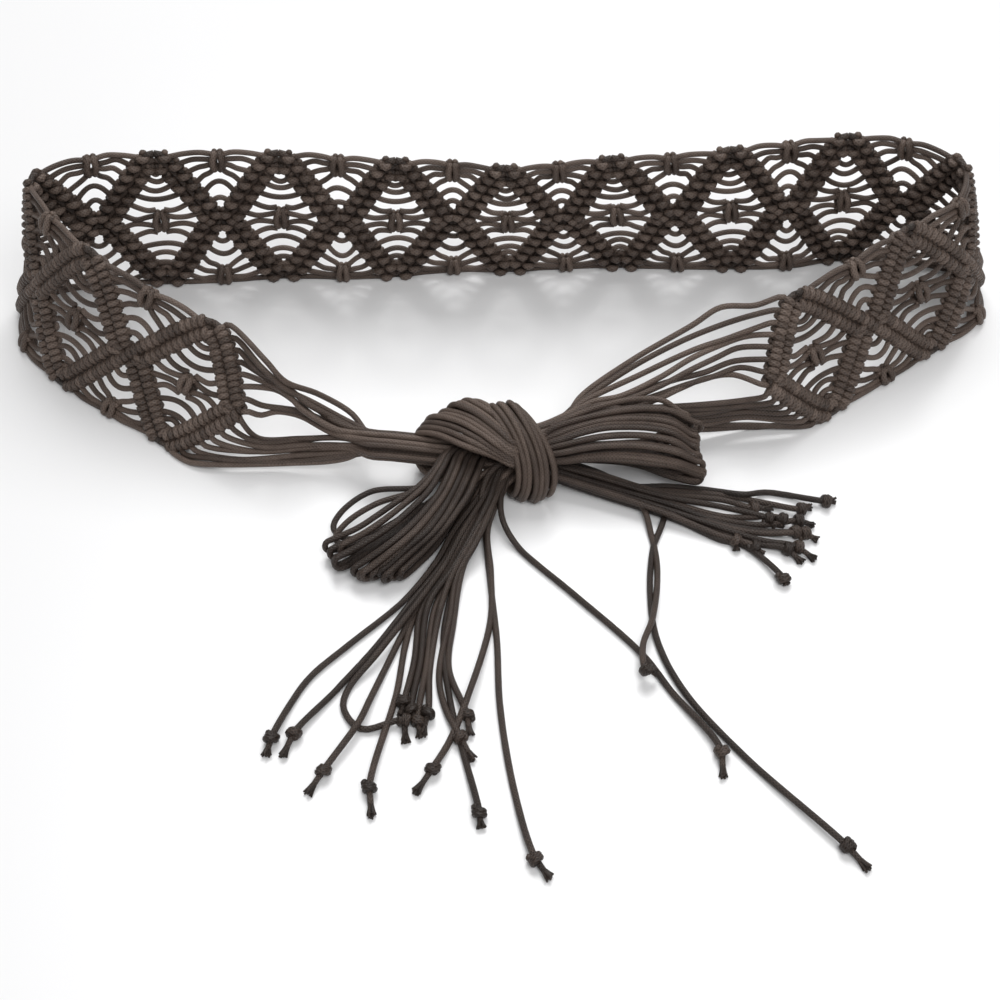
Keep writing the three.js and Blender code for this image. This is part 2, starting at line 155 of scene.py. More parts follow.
# Lines over the lobe, side by side, each from inside the turns up over the top and down behind
LOBE = {"cords": 10, "lines": [
    [(11, -61, 19), (4, -65, 24), (1, -61, 27), (-4, -57, 28), (-8, -53, 27), (-12, -51, 24),
     (-13, -51, 18)],
    [(11, -64, 19), (4, -69, 24), (1, -66, 27), (-3, -62, 28), (-8, -57, 28), (-13, -52, 26),
     (-17, -51, 15)],
    [(11, -66, 19), (4, -71, 24), (1, -69, 26), (-4, -64, 27), (-10, -58, 27), (-16, -53, 25),
     (-20, -52, 12)],
    [(11, -68, 18), (4, -73, 23), (0, -71, 25), (-5, -66, 26), (-12, -60, 26), (-22, -52, 20),
     (-23, -53, 9), (-20, -58, 5)],
    [(11, -69, 17), (4, -73.5, 21), (-1, -72, 24), (-7, -67, 25), (-15, -61, 25), (-25, -53, 19),
     (-26, -53, 8), (-22, -60, 4), (-12, -66, 6)],
    [(11, -70, 15), (4, -74, 19), (-2, -73, 22), (-9, -69, 24), (-18, -62, 23), (-27, -55, 17),
     (-28, -55, 8), (-24, -62, 4), (-13, -68, 6)],
    [(11, -70, 13), (4, -74, 17), (-2, -73, 20), (-12, -70, 22), (-22, -62, 20), (-29, -57, 15),
     (-30, -57, 8), (-26, -64, 4), (-14, -70, 6)],
]}
# Cords inside the knot, on their way to the left loop and the tails
CORE_CORDS = [
    [(10, -63, 7), (2, -66, 8), (-6, -69, 8), (-12, -76, 6), (-18, -88, 4)],
    [(10, -64, 10), (2, -68, 10), (-4, -72, 9), (-8, -79, 7), (-13, -92, 4)],
    [(10, -62, 4), (0, -64, 5), (-8, -67, 5), (-14, -73, 4), (-20, -82, 3)],
    [(9, -66, 12), (3, -71, 11), (-1, -76, 9), (-6, -85, 6), (-11, -96, 4)],
    [(10, -60, 9), (0, -62, 8), (-10, -65, 7), (-17, -71, 6), (-24, -80, 3)],
    [(8, -64, 6), (1, -67, 6), (-5, -72, 6), (-10, -80, 4), (-15, -90, 3)],
    [(9, -67, 8), (4, -72, 8), (0, -77, 7), (-4, -84, 5), (-9, -95, 3)],
    [(8, -62, 3), (2, -66, 3), (-4, -70, 3), (-9, -77, 3), (-14, -86, 2)],
    [(9, -64, 13), (3, -67, 13), (-3, -70, 11), (-9, -74, 9), (-16, -82, 5)],
]

CORDS_PER_RIDGE = 8  # that leave each of the two ridges at an end of the belt
FIRST_CORD = 0.6  # where the first one leaves, along the ridge's outer row
CORD_SPACING = 4.7  # from one to the next
# The bundle that each end of the belt gathers into
LEFT_END = {"half_width": 6, "half_thickness": 4.8,
            "path": [(-44, -58.5, 12), (-36, -60, 12.5), (-20, -62, 12), (0, -64, 12)]}
RIGHT_END = {"half_width": 4.8, "half_thickness": 3.6,
             "path": [(34, -47, 18), (24, -52, 16), (16, -56, 15), (8, -59, 15)]}
# The places that each cord passes on the way there: first those of the upper ridge, then those of
# the lower one, both from the crossing to the corner
LEFT_END_CORDS = [
    [(-83, -50, 18), (-78, -48, 17), (-70, -47, 15), (-58, -54, 13)],
    [(-83, -48, 21), (-76, -48, 19), (-69, -47, 17), (-57, -51, 14)],
    [(-82, -45, 26), (-77, -43, 23), (-69, -48, 20), (-58, -53, 15)],
    [(-82, -44, 28), (-75, -46, 25), (-68, -51, 21), (-57, -54, 15)],
    [(-83, -44, 32), (-76, -44, 27), (-69, -47, 23), (-56, -51, 15)],
    [(-83, -46, 35), (-75, -46, 29), (-66, -50, 23), (-56, -50, 15)],
    [(-81, -47, 37), (-73, -48, 29), (-65, -48, 23), (-54, -48, 14)],
    [(-80, -46, 39), (-74, -48, 32), (-63, -43, 22), (-53, -43, 13)],
    [(-84, -53, 10), (-70, -52, 10), (-55, -54, 12)],
    [(-83, -55, 9), (-70, -53, 9), (-54, -55, 11)],
    [(-83, -55, 8), (-68, -54, 8), (-52, -57, 10)],
    [(-86, -56, 7), (-68, -55, 7), (-52, -57, 10)],
    [(-89, -56, 6), (-70, -56, 6), (-52, -58, 9)],
    [(-93, -57, 4), (-70, -57, 5), (-52, -58, 8)],
    [(-100, -57, 3), (-73, -58, 4), (-52, -59, 7)],
    [(-106, -57, 2), (-75, -58, 3), (-54, -59, 6)],
]
RIGHT_END_CORDS = [
    [(82, -35, 23), (72, -35, 22), (63, -40, 21), (54, -44, 20), (38, -48, 18)],
    [(84, -33, 25), (75, -35, 23), (64, -39, 22), (53, -42, 20), (38, -46, 18)],
    [(82, -31, 27), (72, -34, 25), (61, -37, 23), (50, -39, 21), (35, -44, 18)],
    [(84, -28, 30), (76, -31, 28), (67, -35, 26), (56, -40, 23), (42, -45, 20)],
    [(86, -26, 33), (77, -27, 31), (67, -31, 28), (56, -37, 24), (42, -43, 20)],
    [(88, -25, 36), (79, -26, 33), (68, -28, 29), (49, -34, 23), (28, -43, 17)],
    [(89, -22, 40), (79, -21, 35), (65, -24, 30), (47, -30, 23), (28, -42, 17)],
    [(89, -18, 42), (79, -16, 38), (68, -19, 33), (47, -27, 23), (28, -39, 17)],
    [(86, -40, 16), (70, -42, 16), (53, -44, 16)],
    [(87, -39, 14), (70, -42, 14), (53, -44, 15)],
    [(87, -39, 12), (71, -42, 12), (53, -44, 13)],
    [(87, -39, 10), (71, -41, 10), (53, -44, 12)],
    [(87, -38, 8), (71, -41, 8), (53, -43, 11)],
    [(87, -38, 6), (71, -41, 6), (53, -43, 10)],
    [(88, -38, 3), (71, -41, 5), (53, -43, 8)],
    [(88, -38, 2), (71, -41, 3), (53, -43, 7)],
]

# How a cord turns back at a loop's end: outwards and down, in parts of the turn's radius
TURN_BACK = [(-0.3, 0), (0.55, 0.25), (0.85, 1), (0.5, 1.75), (-0.4, 2)]
# The loops of the bow: lines over the top of each, from the knot to the loop's end, side by side
# from its far edge to its near one, and then the two edges of the part that returns underneath.
# unevenness is how much the cords differ in how far they reach, sideways how much they slant as they
# turn back, and the painted shade is taken from their random shade, so that the loop looks darker.
RIGHT_LOOP = {"cords": 14, "unevenness": 1.0, "sideways": 0.2, "dark": 0.5, "top": [
    [(12, -57, 14), (18, -54, 17), (26, -51, 20), (37, -48, 23), (48, -46, 24), (57, -46.5, 23.5),
     (64.5, -48, 19)],
    [(12, -60, 14), (18, -58, 18), (33, -56, 22), (48, -54, 23), (59, -54, 22), (67.5, -54, 17)],
    [(12, -62, 14), (19, -62, 17), (33, -59, 21), (48, -58, 21), (59, -59, 20), (69, -59, 14)],
    [(12, -64, 13), (19, -65, 16), (33, -64, 19), (48, -63, 19), (61, -65, 18), (70, -65, 12)],
    [(12, -66, 12), (19, -68, 14), (33, -68, 17), (48, -68, 17), (61, -69, 15), (70, -67, 10)],
    [(12, -66, 11), (20, -68, 12), (33, -69, 14), (48, -71, 14), (63, -70.5, 11), (69.5, -69.5, 7)],
], "under": [[(58, -52, 9), (44, -52, 7), (28, -54, 8), (12, -57, 11)],
             [(64, -71, 5.6), (46, -62, 6), (28, -61, 7), (12, -64, 10)]]}
LEFT_LOOP = {"cords": 15, "unevenness": 1.8, "sideways": 0.35, "dark": 1.1, "top": [
    [(-12, -62, 14), (-19, -66, 15), (-26, -78, 14), (-39, -87, 11), (-50, -95, 9),
     (-60, -98, 6.5)],
    [(-8, -62, 14), (-15, -66, 16), (-23, -84, 15), (-33, -97, 13), (-43, -104, 10),
     (-53, -108, 6.5)],
    [(-5, -62, 14), (-12, -66, 16), (-18, -84, 15), (-28, -102, 14), (-38, -111, 11),
     (-46, -114, 6.5)],
    [(-2, -62, 13), (-8, -66, 15), (-14, -83, 14), (-22, -101, 13), (-31, -109, 10),
     (-39, -116, 6.5)],
    [(3, -62, 12), (-3, -66, 14), (-10, -85, 13), (-17, -97, 11), (-24, -106, 8), (-31, -113, 6)],
], "under": [[(-51, -97, 2.2), (-36, -88, 2.6), (-24, -77, 4), (-12, -67, 7)],
             [(-25, -105, 2.2), (-19, -94, 3), (-13, -82, 4.4), (-4, -71, 7)]]}
# Two cords of the left loop that stray from the others
LEFT_STRAYS = [
    [(-14, -66, 12), (-20, -71, 12), (-25, -77, 10), (-44, -78, 8), (-54, -86, 5.5),
     (-56, -91, 3.4), (-52, -94, 1.6), (-43, -91, 1.2), (-26, -80, 4)],
    [(-14, -68, 12), (-20, -74, 12), (-27, -80, 11), (-42, -84, 8), (-52, -91, 5.5),
     (-55, -96, 3.4), (-50, -98, 1.6), (-41, -94, 1.2), (-25, -80, 4)],
]

# The tails: from inside the knot, under its turns, along the bundle, then loose on the surface to
# the end knot. Each point is x, y and the height of the cord's middle where that isn't half a cord.
LEFT_TAILS = [
    [(9, -65, 10), (-1, -70, 9), (-9, -83, 7), (-16, -95, 5), (-21, -106, 3), (-32, -123),
     (-48, -141), (-59, -154), (-64, -164), (-69, -179)],
    [(9, -65, 8), (-1, -70, 7), (-8, -82, 5), (-14, -94, 4), (-19, -107, 3), (-29, -124, 2),
     (-40, -143), (-51, -160), (-62.5, -177.5)],
    [(9, -65, 12), (0, -70, 11), (-6, -82, 8), (-13, -96, 6), (-18, -108, 4), (-28, -128, 4),
     (-39, -147, 3), (-47, -159), (-48, -167), (-42, -175), (-29, -172.5)],
    [(9, -65, 9), (0, -70, 9), (-7, -84, 7), (-12, -96, 5), (-18, -109, 3), (-27, -126, 2),
     (-36, -151), (-40, -164, 2), (-43, -174, 3), (-52.5, -191.5)],
    [(9, -64, 7), (0, -70, 6), (-5, -81, 5), (-11, -96, 3), (-17, -110, 2), (-27, -127),
     (-30, -141), (-32, -161), (-38.5, -197.5)],
    [(10, -65, 11), (1, -70, 10), (-5, -84, 7), (-11, -98, 5), (-17, -111, 3), (-25, -125, 2),
     (-27, -148), (-29.5, -165)],
    [(10, -65, 13), (1, -70, 12), (-4, -84, 9), (-10, -98, 6), (-16, -111, 4), (-23, -125, 3),
     (-25, -148), (-27, -168.5)],
    [(10, -64, 8), (1, -70, 8), (-4, -84, 6), (-9, -98, 4), (-16, -112, 2), (-21, -125),
     (-23, -149), (-25, -172.5)],
    [(10, -65, 12), (2, -70, 11), (-3, -83, 8), (-9, -98, 6), (-15, -111, 4), (-19, -126, 3),
     (-22, -151), (-22, -169.5)],
    [(11, -64, 8), (2, -70, 7), (-3, -82, 5), (-8, -97, 3), (-14, -112, 2), (-17, -127),
     (-18, -141), (-15, -166), (-11, -184), (-6, -206.5)],
    [(11, -65, 11), (3, -71, 10), (-3, -86, 8), (-8, -100, 6), (-14, -112, 3), (-16, -129, 2),
     (-19, -154), (-17, -166), (-12, -179)],
    [(11, -64, 9), (3, -70, 8), (-2, -81, 6), (-7, -96, 5), (-12, -108, 3), (-15, -132),
     (-16, -151), (-10, -170.5, 2)],
    [(11, -63, 9), (5, -69, 9), (1, -77, 7), (-4, -91, 4), (-3, -111, 3), (-3, -130),
     (-10, -165, 4), (-15, -179), (-20, -190.5)],
    [(9, -65, 14), (2, -68.5, 14), (-4, -74, 12), (-6.5, -83, 7), (-5, -93, 3), (-3, -116),
     (-1, -139), (0, -166), (4, -197), (10, -222.5)],
    [(10, -63, 11), (4, -68, 10), (0.5, -78, 8), (1, -89, 5), (7, -99), (24, -119), (45, -145),
     (53, -160), (66.5, -184)],
]
RIGHT_TAILS = [
    [(14, -63, 6), (28, -67, 4), (40, -73, 3), (48, -79, 3), (51, -92), (52, -108), (49, -131, 3),
     (45, -144, 3.9), (45.5, -154.5, 4.6)],
    [(14, -60, 6), (34, -66, 3), (49, -74), (56, -79), (51, -99), (49, -118), (50, -139),
     (57, -160), (73, -185), (99.5, -218.5)],
    [(14, -58, 7), (34, -65, 5), (44, -70, 3.4), (58, -68.5, 1.6), (73, -70), (84, -74, 3),
     (92, -71), (112, -76.5)],
    [(14, -59, 6), (34, -67, 4), (46, -71, 3), (60, -71, 1.6), (74, -72), (90, -76), (103, -80.5)],
    [(14, -62, 8), (34, -67, 6), (55, -73, 3), (77, -76, 2), (86.5, -80)],
    [(14, -64, 9), (34, -69.6, 7), (56, -76, 4), (75, -80, 3), (91, -85)],
    [(14, -62, 7), (34, -69, 5), (57, -77, 2.6), (77, -83), (95.5, -85)],
    [(14, -63, 6), (34, -70, 4), (58, -79, 1.5), (77, -85), (88, -87), (101.5, -86)],
    [(14, -65, 8), (34, -71, 5), (60, -80, 3), (76, -87), (90, -90), (99.5, -91.5)],
    [(14, -62, 4), (34, -69, 2), (60, -80), (76, -89, 2), (89, -93, 3), (102.5, -92)],
    [(14, -66, 7), (34, -73, 5), (60, -83, 3), (76, -91, 3), (87, -95, 2), (99.5, -98.5)],
    [(14, -64, 5), (34, -72, 4), (60, -82, 2), (76, -92, 1.5), (86, -96), (96, -99.5)],
    [(14, -68, 8), (34, -75, 6), (58, -85, 3.6), (74, -93, 2), (85, -98)],
    [(14, -66, 6), (34, -74, 4), (58, -84, 3), (72, -92), (79, -95.5)],
    [(14, -65, 4), (34, -73, 2), (60, -85, 1.5), (74, -94), (82, -97), (93, -112.5)],
]
# Which way each end knot's frayed tip points, in x and y, and how long it is
LEFT_TIPS = [(-1.3, -6), (-2.8, -8), (0.5, -7.5), (-4.2, -7.5), (1.2, -10), (-1, -5), (1.3, -3.8),
             (1, -5.5), (-1.8, -8), (0.5, -4.8), (4, -8), (0.9, -6.8), (-5, -8.5), (4.1, -6.2),
             (-0.3, -9)]
RIGHT_TIPS = [(3.2, 0), (5.1, -7), (3, 1.6), (3.4, 2.4), (6.5, 1.2), (2.6, -2.6), (-0.4, -3),
              (5, -1), (3.8, 1), (4.4, -2), (5.4, -4.6), (4.4, -4.9), (2.7, -2.7), (0, -3.6),
              (1.2, -2.2)]

TAIL_PAINTED_SHADE = 1.25  # painted shade, taken off the tails' random shade: they look darker than the net
TAIL_STEPS = 400  # places along a tail's line, close enough for its end knot to be at one of them
END_KNOT_TURNS = 2.2  # of the cord round itself in an end knot
END_KNOT_RADIUS = 1.4  # from the knot's middle to the middle of the cord
END_KNOT_LENGTH = 2.3
THREADS = 16  # in the frayed tip of a cord
THREAD_RADII = [0.36, 0.38, 0.38, 0.36, 0.3]


def metres(points):
    """Millimetres in the layout's frame, as metres in the part's frame."""
    return (np.asarray(points, float) - CENTRE) * 0.001


# Lines through space


def with_height(point):
    """The point with its height, which is half a cord where none is given."""
    return tuple(point) + (CORD / 2,) * (3 - len(point))


def curve(points, count):
    """A smooth line through given points, as evenly spaced places along it."""
    p = np.array([with_height(point) for point in points], float)
    steps = np.sqrt(np.linalg.norm(np.diff(p, axis=0), axis=1))[:, None]
    rates = np.diff(p, axis=0) / steps
    inner = (rates[:-1] * steps[1:] + rates[1:] * steps[:-1]) / (steps[:-1] + steps[1:])
    slopes = np.vstack([rates[:1], inner, rates[-1:]])
    t = np.linspace(0, 1, 24)[:, None]
    pieces = []
    # A cubic from each point to the next, with the slopes at both
    for i, step in enumerate(steps):
        a, b, m, n = p[i], p[i + 1], slopes[i] * step, slopes[i + 1] * step
        bend = (3 * (b - a) - 2 * m - n) * t ** 2 + (2 * (a - b) + m + n) * t ** 3
        pieces.append(a + m * t + bend)
    return evenly(np.vstack(pieces), count)


def evenly(points, count):
    """The same line as count places with equal steps between them."""
    walked = lengths(points)
    wanted = np.linspace(0, walked[-1], count)
    return np.column_stack([np.interp(wanted, walked, values) for values in points.T])


def lengths(points):
    """How far each place is along the line."""
    return np.concatenate([[0], np.cumsum(np.linalg.norm(np.diff(points, axis=0), axis=1))])


def unit(vectors):
    """The vectors, each made 1 long."""
    return vectors / np.maximum(np.linalg.norm(vectors, axis=-1, keepdims=True), 1e-9)


def frames(points):
    """Two directions square to the line at each place, which don't twist along it."""
    forward = unit(np.gradient(points, axis=0))
    rough = np.eye(3)[np.argmin(np.abs(forward[0]))]
    across = np.empty_like(points)
    for i, ahead in enumerate(forward):
        rough = rough - ahead * np.dot(rough, ahead)
        rough /= np.linalg.norm(rough)
        across[i] = rough
    return across, np.cross(forward, across)


def square_to(start, end):
    """Two directions square to the straight line from start to end."""
    across, other = frames(np.array([start, end]))
    return across[0], other[0]


def between(lines, share):
    """A line at a share of the way across several lines that lie side by side."""
    place = np.clip(share, 0, 1) * (len(lines) - 1)
    i = min(int(place), len(lines) - 2)
    return lines[i] + (lines[i + 1] - lines[i]) * (place - i)


# The net's bent surface


def spline(points, shares):
    """A line through points that are evenly spread from share 0 to share 1."""
    last = len(points) - 1
    place = np.clip(shares, 0, 1) * last
    i = np.minimum(np.floor(place).astype(int), last - 1)
    t = (place - i)[:, None]
    padded = np.vstack([2 * points[0] - points[1], points, 2 * points[-1] - points[-2]])
    a, b, c, d = (padded[i + k] for k in range(4))
    start, end = (c - a) / 2, (d - b) / 2
    bend = (3 * (c - b) - 2 * start - end) * t ** 2 + (2 * (b - c) + start + end) * t ** 3
    return b + start * t + bend


# How much of the net's height is upright, and the line halfway up it
UPRIGHT = np.sqrt(1 - NET_PATH[:, 2] ** 2 - NET_PATH[:, 3] ** 2)
MIDDLE_LINE = np.column_stack([NET_PATH[:, :2], UPRIGHT * NET_PATH[:, 4] / 2 - FOOT])


def bent(flat):
    """Places in space of points of the flat pattern, given as rows of u, v and w."""
    u, v, w = np.asarray(flat, float).T
    share = u / NET_LENGTH
    inside = np.clip(share, 0, 1)
    step = 0.25 / (len(NET_PATH) - 1)
    along = unit(spline(MIDDLE_LINE, inside + step) - spline(MIDDLE_LINE, inside - step))
    lean = spline(NET_PATH[:, 2:], inside)
    up = np.column_stack([lean[:, :2], np.sqrt(1 - lean[:, 0] ** 2 - lean[:, 1] ** 2)])
    inward = unit(np.cross(along, up))
    place = spline(MIDDLE_LINE, inside) + along * ((share - inside) * NET_LENGTH)[:, None]
    return place + up * (v * lean[:, 2] / NET_HEIGHT)[:, None] + inward * w[:, None]


# Cords as meshes


class Cords:
    """Cords that are gathered into one mesh.

    Their UV map has u along each cord, in cord thicknesses, and v once round it. The shade attribute
    is one random value for each cord, and painted shade lowers it for all of them.
    """

    def __init__(self, name, rng, dark=0.0):
        self.name = name
        self.rng = rng
        self.dark = dark
        self.rings = []

    def add(self, points, radius=CORD / 2, sides=SIDES, dark=0.0):
        """One cord along points, lifted on to the surface where they are too low.

        radius may be a list with a value for each point. Painted shade can make this cord darker
        still.
        """
        points = np.array(points, float)
        radii = np.broadcast_to(np.asarray(radius, float), len(points))
        points[:, 2] = np.maximum(points[:, 2], radii)
        across, other = frames(points)
        turn = np.linspace(0, 2 * math.pi, sides, endpoint=False)[:, None]
        circle = np.cos(turn) * across[:, None] + np.sin(turn) * other[:, None]
        start = self.rng.uniform(0, 8)
        # A random value, lowered by the painted shade of all the cords and of this one
        shade = self.rng.random() - self.dark - dark
        rings = points[:, None] + radii[:, None, None] * circle
        self.rings.append((rings, start + lengths(points) / CORD, shade))

    def build(self, material):
        """One mesh of all the cords, each a tube of four-sided faces with a face on each end."""
        places, corners, totals, maps, shades = [], [], [], [], []
        first = 0
        for rings, along, shade in self.rings:
            count, sides = rings.shape[:2]
            number = first + np.arange(count * sides).reshape(count, sides)
            after = np.roll(number, -1, axis=1)
            walls = np.stack([number[:-1], after[:-1], after[1:], number[1:]], axis=-1)
            u_low, v_low = np.meshgrid(along[:-1], np.arange(sides) / sides, indexing="ij")
            u_high = np.repeat(along[1:, None], sides, axis=1)
            v_high = v_low + 1 / sides
            wall_map = np.stack([u_low, v_low, u_low, v_high, u_high, v_high, u_high, v_low], axis=-1)
            places.append(rings.reshape(-1, 3))
            corners += [walls.ravel(), number[0][::-1], number[-1]]
            totals += [np.full((count - 1) * sides, 4), [sides], [sides]]
            maps.append(wall_map.reshape(-1, 2))
            maps += [np.tile([along[end], 0.5], (sides, 1)) for end in (0, -1)]
            shades.append(np.full(count * sides, shade))
            first += count * sides
        points = metres(np.vstack(places))
        points[:, 2] = np.maximum(points[:, 2], LOWEST * 0.001)
        return mesh_object(self.name, points, np.concatenate(corners), np.concatenate(totals),
                           np.vstack(maps), np.concatenate(shades), material)


def mesh_object(name, points, corners, totals, uv, shades, material):
    """An object with smooth faces. totals is how many corners each face has."""
    mesh = bpy.data.meshes.new(name)
    mesh.vertices.add(len(points))
    mesh.vertices.foreach_set("co", points.ravel())
    mesh.loops.add(len(corners))
    mesh.loops.foreach_set("vertex_index", corners.astype(np.int32))
    mesh.polygons.add(len(totals))
    mesh.polygons.foreach_set("loop_start", (np.cumsum(totals) - totals).astype(np.int32))
    mesh.polygons.foreach_set("use_smooth", np.ones(len(totals), dtype=bool))
    mesh.uv_layers.new(name="UVMap").data.foreach_set("uv", uv.ravel())
    mesh.attributes.new("shade", "FLOAT", "POINT").data.foreach_set("value", shades)
    mesh.update(calc_edges=True)
    mesh.validate()
    mesh.materials.append(material)
    made = bpy.data.objects.new(name, mesh)
    bpy.context.scene.collection.objects.link(made)
    return made


def finished(cords, node, material):
    """Makes the mesh with its material, puts it under the root body and hides the solid it stands for.
    """
    piece = cords.build(material)
    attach(piece, "root")
    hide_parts(node)
    return piece


# Camera, surface and light


def set_camera():
    camera = bpy.data.objects.new("camera", bpy.data.cameras.new("camera"))
    bpy.context.scene.collection.objects.link(camera)
    camera.location = metres(CAMERA_PLACE)
    camera.rotation_euler = (math.radians(90 - CAMERA_DOWN), 0, 0)
    camera.data.sensor_width = 36
    camera.data.lens = CAMERA_FOCUS * camera.data.sensor_width
    camera.data.clip_start = 0.01
    bpy.context.scene.camera = camera
    bpy.context.scene.view_settings.view_transform = "Standard"


def set_stage():
    mesh = bpy.data.meshes.new("floor")
    reach = 4.0
    corners = [(-reach, -reach, 0), (reach, -reach, 0), (reach, reach, 0), (-reach, reach, 0)]
    mesh.from_pydata(corners, [], [(0, 1, 2, 3)])
    mesh.materials.append(pale_surface())
    floor = bpy.data.objects.new("floor", mesh)
    bpy.context.scene.collection.objects.link(floor)

    world = bpy.data.worlds.new("studio")
    world.use_nodes = True
    background = world.node_tree.nodes["Background"]
    background.inputs["Color"].default_value = (1, 1, 1, 1)
    background.inputs["Strength"].default_value = 0.42
    bpy.context.scene.world = world
    softbox("window", (0.1, 0.9, 1.2), size=1.0, power=14)
    softbox("front_light", (0.3, -0.8, 1.2), size=0.8, power=9.5)


def softbox(name, place, size, power):
    """A square lamp that shines at the middle of the floor."""
    lamp = bpy.data.objects.new(name, bpy.data.lights.new(name, "AREA"))
    lamp.data.size = size
    lamp.data.energy = power
    lamp.location = place
    x, y, z = place
    lamp.rotation_euler = (math.atan2(math.hypot(x, y), z), 0, math.atan2(x, -y))
    bpy.context.scene.collection.objects.link(lamp)


# Materials


def pale_surface():
    material = bpy.data.materials.new("pale_surface")
    material.use_nodes = True
    shader = material.node_tree.nodes["Principled BSDF"]
    shader.inputs["Base Color"].default_value = (0.86, 0.86, 0.865, 1)
    shader.inputs["Roughness"].default_value = 0.28
    return material


class Shading:
    """Short ways to add and join the nodes of one material."""

    def __init__(self, name):
        self.material = bpy.data.materials.new(name)
        self.material.use_nodes = True
        self.tree = self.material.node_tree
        self.shader = self.tree.nodes["Principled BSDF"]

    def node(self, kind, **settings):
        """A new node, with its own settings."""
        made = self.tree.nodes.new("ShaderNode" + kind)
        for name, value in settings.items():
            setattr(made, name, value)
        return made

    def feed(self, socket, value):
        """Puts a value, or another node's output, into an input."""
        if isinstance(value, bpy.types.NodeSocket):
            self.tree.links.new(value, socket)
        else:
            socket.default_value = value

    def work_out(self, operation, *values):
        """One step of arithmetic, with numbers or other nodes' outputs."""
        made = self.node("Math", operation=operation)
        for socket, value in zip(made.inputs, values):
            self.feed(socket, value)
        return made.outputs[0]

    def noise(self, place, scale, detail):
        made = self.node("TexNoise")
        self.feed(made.inputs["Vector"], place)
        self.feed(made.inputs["Scale"], scale)
        self.feed(made.inputs["Detail"], detail)
        return made.outputs["Fac"]

    def ramp(self, value, stops):
        """A colour that changes with the value, from stop to stop."""
        made = self.node("ValToRGB")
        ramp = made.color_ramp
        while len(ramp.elements) < len(stops):
            ramp.elements.new(0.5)
        for element, (position, colour) in zip(ramp.elements, stops):
            element.position = position
            element.color = (*colour, 1)
        self.feed(made.inputs["Fac"], value)
        return made.outputs["Color"]


def waxed_cotton():
    """A tight round braid: strands cross in two slants, waxed, with a little fuzz and wear."""
    s = Shading("waxed_cotton")
    uv = s.node("UVMap", uv_map="UVMap").outputs["UV"]
    split = s.node("SeparateXYZ")
    s.feed(split.inputs[0], uv)
    along, around = split.outputs["X"], split.outputs["Y"]
    place = s.node("TexCoord").outputs["Object"]
    shade = s.node("Attribute", attribute_name="shade").outputs["Fac"]

    def slanted(way):
        """Six strands that wind round the cord one way, as a wave that is high on each strand."""
        turn = s.work_out("MULTIPLY_ADD", along, way * 1.6, s.work_out("MULTIPLY", around, 6.0))
        return s.work_out("SINE", s.work_out("MULTIPLY", turn, 2 * math.pi))

    braid = s.work_out("MULTIPLY_ADD", s.work_out("MAXIMUM", slanted(1), slanted(-1)), 0.5, 0.5)
    fuzz = s.noise(place, 2600.0, 4.0)
    wax = s.noise(place, 90.0, 3.0)
    wear = s.noise(place, 420.0, 2.0)

    # How light the cord is, from painted shade in the grooves of the braid to pale where it is worn
    light = s.work_out("MULTIPLY", braid, 0.36)
    # The shade attribute: each cord's random value, lowered by painted shade
    light = s.work_out("MULTIPLY_ADD", shade, 0.3, light)
    light = s.work_out("MULTIPLY_ADD", wax, 0.35, light)
    light = s.work_out("MULTIPLY_ADD", wear, 0.25, light)
    light = s.work_out("MULTIPLY_ADD", fuzz, 0.4, light)
    colour = s.ramp(s.work_out("SUBTRACT", light, 0.44), [
        (0.0, (0.021, 0.0143, 0.0112)),
        (0.45, (0.089, 0.063, 0.05)),
        (0.8, (0.175, 0.13, 0.106)),
        (1.0, (0.33, 0.255, 0.21)),
    ])
    s.feed(s.shader.inputs["Base Color"], colour)
    s.feed(s.shader.inputs["Roughness"], s.work_out("MULTIPLY_ADD", wax, 0.3, 0.28))
    s.feed(s.shader.inputs["Specular IOR Level"], 0.34)
    height = s.work_out("MULTIPLY_ADD", fuzz, 0.5, braid)
    bump = s.node("Bump")
    s.feed(bump.inputs["Height"], height)
    s.feed(bump.inputs["Strength"], 0.95)
    s.feed(bump.inputs["Distance"], 0.0002)
    s.feed(s.shader.inputs["Normal"], bump.outputs["Normal"])
    return s.material


# The tails


def tail_line(route, tip):
    """The cord's middle line, through its end knot to the end of its frayed tip."""
    x, y, height = with_height(route[-1])
    height = max(height, CORD)
    tip_height = max(height - 1.2, 0.9)
    points = [*route[:-1], (x, y, height), (x + tip[0], y + tip[1], tip_height)]
    return curve(points, TAIL_STEPS)


def end_knot(cords, middle, forward, rng):
    """An overhand knot: the cord wound round itself, a little askew and unevenly."""
    side, other = square_to(middle, middle + forward)
    askew = unit(forward + side * rng.uniform(-0.35, 0.35) + other * rng.uniform(-0.2, 0.2))
    side, other = square_to(middle, middle + askew)
    turns = np.linspace(0, END_KNOT_TURNS * 2 * math.pi, 28) + rng.uniform(0, 6)
    reach = END_KNOT_RADIUS + 0.12 * np.sin(turns * 0.7)
    half = END_KNOT_LENGTH / 2
    along = np.linspace(-half, half, len(turns)) + 0.4 * np.sin(turns + 1)
    line = middle + askew * along[:, None]
    line = line + reach[:, None] * (np.cos(turns)[:, None] * side + np.sin(turns)[:, None] * other)
    cords.add(line, 1.04)


